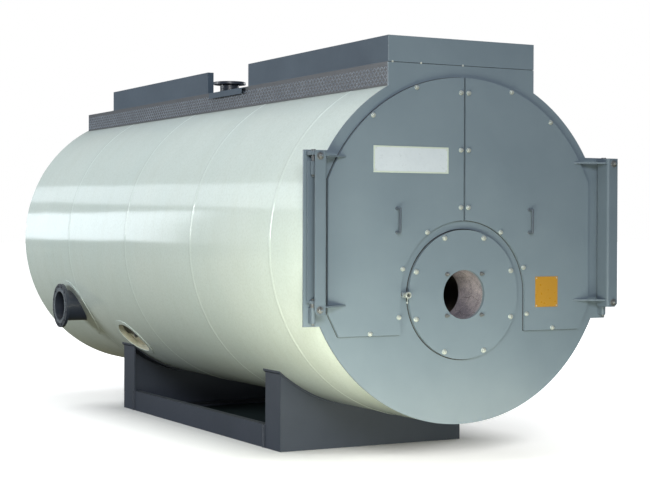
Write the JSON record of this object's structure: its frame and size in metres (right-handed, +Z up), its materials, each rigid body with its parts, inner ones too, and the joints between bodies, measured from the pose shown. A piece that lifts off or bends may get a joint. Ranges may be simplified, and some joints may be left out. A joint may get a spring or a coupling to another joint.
{
  "type": "industrial fire-tube hot-water boiler",
  "caption": "Horizontal fire-tube boiler on saddles, with a painted sheet jacket, hinged smokebox doors, a burner opening, flanged nozzles and a walk-on deck with raised edges.",
  "frame": {"origin": "on the floor, below the barrel's axis, at the middle of the front saddle's foot plate", "axes": "+Y along the barrel to the rear, +Z up, so the front with its doors and burner opening faces -Y"},
  "size_m": [2.412, 6.0943, 2.89],
  "materials": {
    "front_paint": "satin",
    "handle_steel": "satin",
    "refractory": "rough refractory",
    "white_plate": "gloss",
    "yellow_plate": "gloss",
    "bolt_steel": "zinc plated",
    "bare_steel": "matte mill scale",
    "mineral_wool": "matte wool",
    "jacket_sheet": "gloss coated sheet",
    "primer": "satin",
    "base_paint": "satin",
    "tread_plate": "satin raised pattern",
    "nozzle_paint": "satin"
  },
  "bodies": {
    "boiler": {"front_plate": "front_paint", "burner_plate": "front_paint", "burner_throat": "refractory", "burner_studs": "bolt_steel", "furnace_tube": "bare_steel", "sight_tube": "front_paint", "boiler_shell": "bare_steel", "front_tube_plate": "bare_steel", "rear_tube_plate": "bare_steel", "insulation": "mineral_wool", "jacket_course_1": "jacket_sheet", "jacket_course_2": "jacket_sheet", "jacket_course_3": "jacket_sheet", "jacket_course_4": "jacket_sheet", "jacket_course_5": "jacket_sheet", "rear_cover": "front_paint", "flue_collar": "front_paint", "hinge_lugs": "front_paint", "hinge_pins": "front_paint", "front_saddle": "base_paint", "rear_saddle": "base_paint", "side_rails": "base_paint", "deck_plate": "tread_plate", "deck_skirts": "tread_plate", "parapet_front": "front_paint", "parapet_front_sides": "front_paint", "parapet_rear_sides": "front_paint", "deck_step": "front_paint", "top_nozzle": "nozzle_paint", "side_nozzle_pipe": "nozzle_paint", "side_nozzle_flange": "nozzle_paint", "side_nozzle_collar": "jacket_sheet", "hatch_frame": "jacket_sheet", "hatch_cover": "primer"},
    "left_door": {"left_door_leaf": "front_paint", "left_door_lining": "refractory", "left_door_handle": "handle_steel", "left_nameplate": "white_plate", "left_hinge_channel": "front_paint"},
    "right_door": {"right_door_leaf": "front_paint", "right_door_lining": "refractory", "right_door_handle": "handle_steel", "right_nameplate": "yellow_plate", "right_hinge_channel": "front_paint"}
  },
  "joints": [
    {"name": "left_door_hinge", "type": "hinge", "parent": "boiler", "child": "left_door", "pos_m": [-1.16, -1.3515, 1.595], "axis": [0, 0, -1], "range_deg": [0, 110]},
    {"name": "right_door_hinge", "type": "hinge", "parent": "boiler", "child": "right_door", "pos_m": [1.16, -1.3515, 1.595], "axis": [0, 0, 1], "range_deg": [0, 110]}
  ]
}
